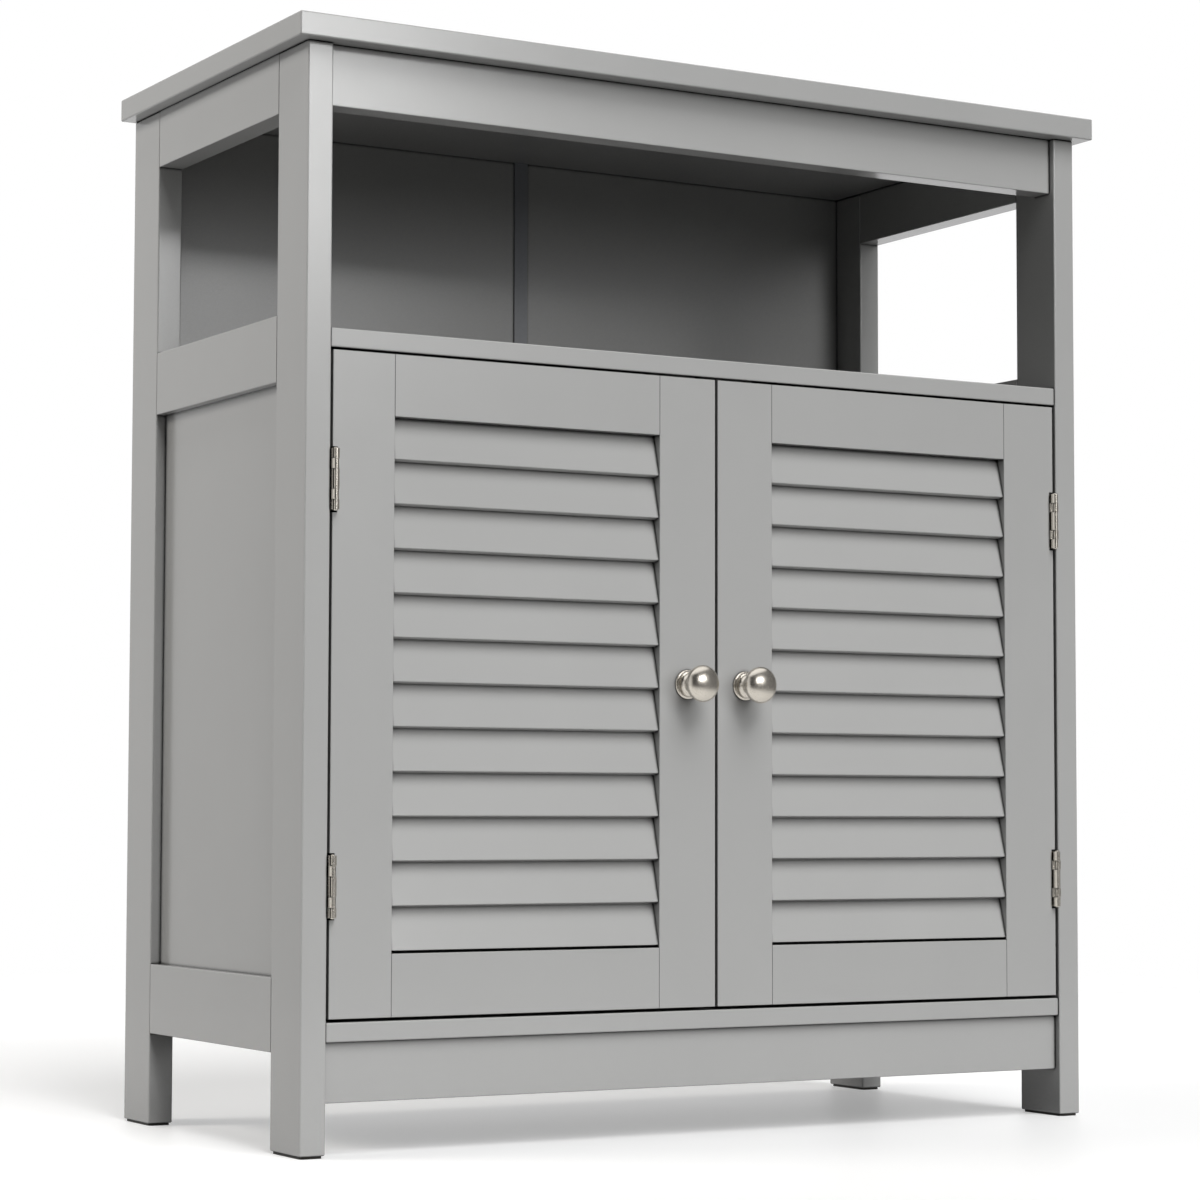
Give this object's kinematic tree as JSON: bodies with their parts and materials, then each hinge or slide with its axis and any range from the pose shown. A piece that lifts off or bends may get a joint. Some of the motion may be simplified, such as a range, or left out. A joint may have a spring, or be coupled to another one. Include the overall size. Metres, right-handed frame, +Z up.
{
  "type": "louvred door cabinet",
  "caption": "Free-standing storage cabinet: open compartment with open sides above a cupboard with a pair of fixed-louvre doors on butt hinges, mushroom knobs, panelled sides and back.",
  "frame": {"origin": "on the floor, at the middle of the cabinet's overall footprint, which runs from the knobs' front to the back edge of the top", "axes": "+Z up, -Y towards someone who stands in front of the doors, +X to their right"},
  "size_m": [0.615, 0.3084, 0.7],
  "materials": {
    "painted_board": "satin grey paint on MDF",
    "painted_hardboard": "satin grey paint on thin hardboard",
    "strip_plastic": "extruded PVC, dark grey",
    "pad_felt": "dense black foam",
    "satin_nickel": "satin nickel plate",
    "zinc_plated_steel": "bright zinc plate",
    "zinc_alloy": "die cast",
    "catch_plastic": "moulded nylon",
    "ferrite": "sintered ferrite between steel poles",
    "beech": "fluted beech, unfinished"
  },
  "bodies": {
    "cabinet": {"top_board": "painted_board", "leg_front_left": "painted_board", "leg_front_right": "painted_board", "leg_rear_left": "painted_board", "leg_rear_right": "painted_board", "side_top_rail_left": "painted_board", "side_top_rail_right": "painted_board", "side_middle_rail_left": "painted_board", "side_middle_rail_right": "painted_board", "side_bottom_rail_left": "painted_board", "side_bottom_rail_right": "painted_board", "front_apron": "painted_board", "front_skirt": "painted_board", "middle_shelf": "painted_board", "bottom_shelf": "painted_board", "inner_shelf": "painted_board", "side_panel_left": "painted_hardboard", "side_panel_right": "painted_hardboard", "back_panel_left": "painted_hardboard", "back_panel_right": "painted_hardboard", "back_joining_strip": "strip_plastic", "foot_pads": "pad_felt", "left_upper_hinge_frame_leaf": "satin_nickel", "left_lower_hinge_frame_leaf": "satin_nickel", "left_hinge_pins": "satin_nickel", "right_upper_hinge_frame_leaf": "satin_nickel", "right_lower_hinge_frame_leaf": "satin_nickel", "right_hinge_pins": "satin_nickel", "cabinet_wood_screws": "zinc_plated_steel", "cam_bolts": "zinc_plated_steel", "shelf_pins": "zinc_plated_steel", "cam_locks": "zinc_alloy", "left_magnetic_catch": "catch_plastic", "right_magnetic_catch": "catch_plastic", "catch_magnets": "ferrite", "dowels": "beech"},
    "left_door": {"left_door_hinge_stile": "painted_board", "left_door_meeting_stile": "painted_board", "left_door_top_rail": "painted_board", "left_door_bottom_rail": "painted_board", "left_door_louvres": "painted_board", "left_knob": "satin_nickel", "left_knob_screw": "zinc_plated_steel", "left_strike_plate": "zinc_plated_steel", "left_door_wood_screws": "zinc_plated_steel", "left_upper_hinge_door_leaf": "satin_nickel", "left_lower_hinge_door_leaf": "satin_nickel"},
    "right_door": {"right_door_hinge_stile": "painted_board", "right_door_meeting_stile": "painted_board", "right_door_top_rail": "painted_board", "right_door_bottom_rail": "painted_board", "right_door_louvres": "painted_board", "right_knob": "satin_nickel", "right_knob_screw": "zinc_plated_steel", "right_strike_plate": "zinc_plated_steel", "right_door_wood_screws": "zinc_plated_steel", "right_upper_hinge_door_leaf": "satin_nickel", "right_lower_hinge_door_leaf": "satin_nickel"}
  },
  "joints": [
    {"name": "left_door_hinge", "type": "hinge", "parent": "cabinet", "child": "left_door", "pos_m": [-0.2779, -0.13255, 0.28875], "axis": [0, 0, -1], "range_deg": [0, 170]},
    {"name": "right_door_hinge", "type": "hinge", "parent": "cabinet", "child": "right_door", "pos_m": [0.2779, -0.13255, 0.28875], "axis": [0, 0, 1], "range_deg": [0, 170]}
  ]
}
